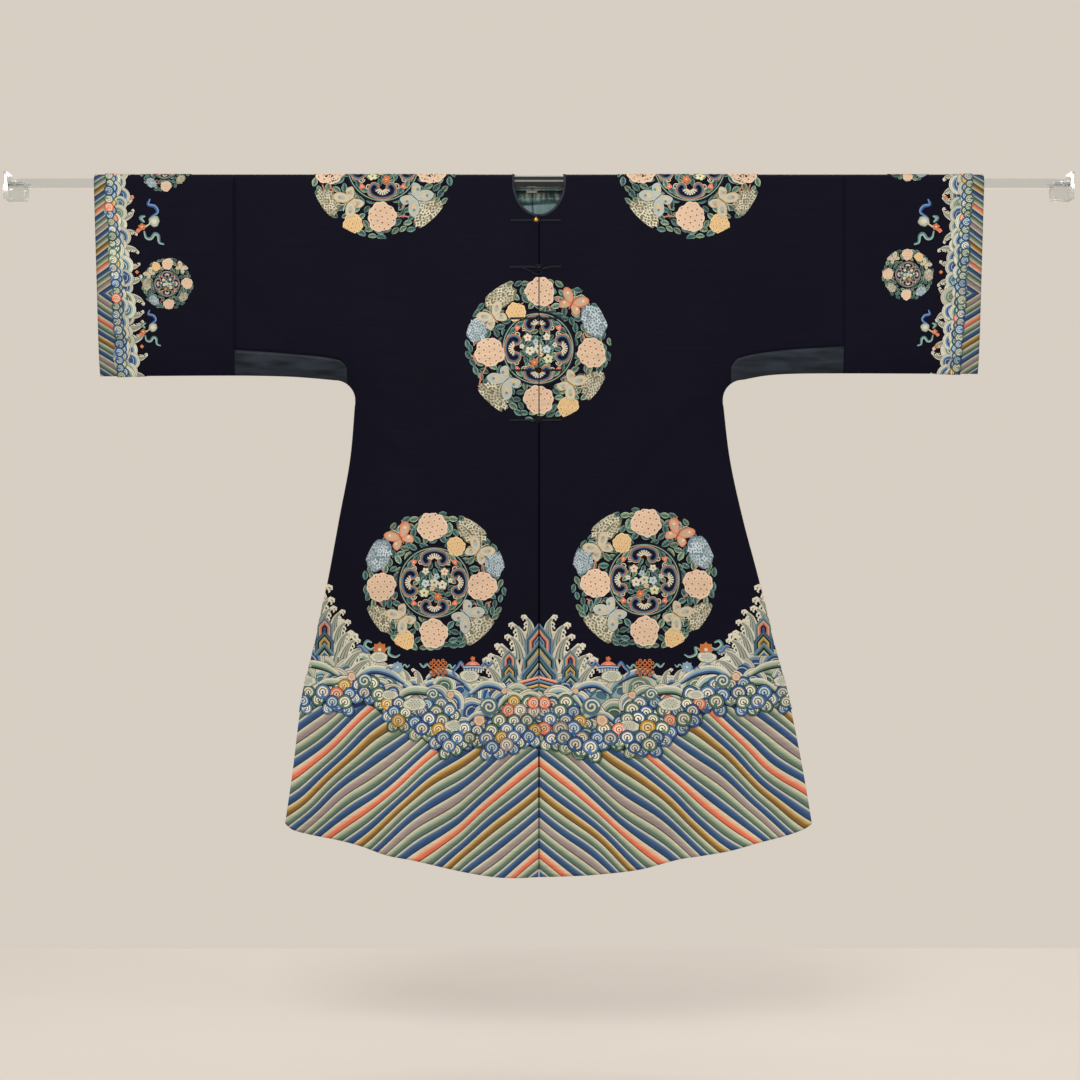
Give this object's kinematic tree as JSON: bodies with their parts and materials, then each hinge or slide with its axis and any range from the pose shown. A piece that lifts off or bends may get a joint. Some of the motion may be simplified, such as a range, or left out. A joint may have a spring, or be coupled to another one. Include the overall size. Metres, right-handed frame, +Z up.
{
  "type": "kesi robe hung on a clear rod",
  "caption": "Front-opening silk tapestry robe with straight sleeves, round neck and frog fastenings, hung flat by its sleeves on a clear rod in wall holders.",
  "frame": {"origin": "the rod's centre line, half way along it, where the robe's shoulders hang", "axes": "+Z up, -Y out of the robe's front, +X to the right of someone who looks at the front and along the rod"},
  "size_m": [2.1626, 0.1019, 1.4229],
  "materials": {
    "kesi_silk": "dark navy silk tapestry with coloured roundels, cuffs and hem",
    "underarm_satin": "dark blue-grey silk satin",
    "neck_satin": "narrow dark satin binding",
    "lining_silk": "shiny pale teal silk lining",
    "label_cotton": "plain white tape, blank",
    "frog_cord": "folded dark satin cord",
    "gilt_brass": "worn gilt",
    "clear_acrylic": "polished clear acrylic"
  },
  "bodies": {
    "root": {"body_left": "kesi_silk", "body_right": "kesi_silk", "sleeve_left": "kesi_silk", "sleeve_right": "kesi_silk", "underarm_strip_left": "underarm_satin", "underarm_strip_right": "underarm_satin", "neck_binding": "neck_satin", "neck_lining": "lining_silk", "neck_label": "label_cotton", "frog_neck_left": "frog_cord", "frog_neck_right": "frog_cord", "button_neck": "gilt_brass", "frog_upper_left": "frog_cord", "frog_upper_right": "frog_cord", "button_upper": "gilt_brass", "frog_chest_left": "frog_cord", "frog_chest_right": "frog_cord", "button_chest": "gilt_brass", "frog_waist_left": "frog_cord", "frog_waist_right": "frog_cord", "button_waist": "gilt_brass", "frog_lower_left": "frog_cord", "frog_lower_right": "frog_cord", "button_lower": "gilt_brass", "rod": "clear_acrylic", "rod_holder_left": "clear_acrylic", "rod_holder_right": "clear_acrylic"}
  },
  "joints": []
}
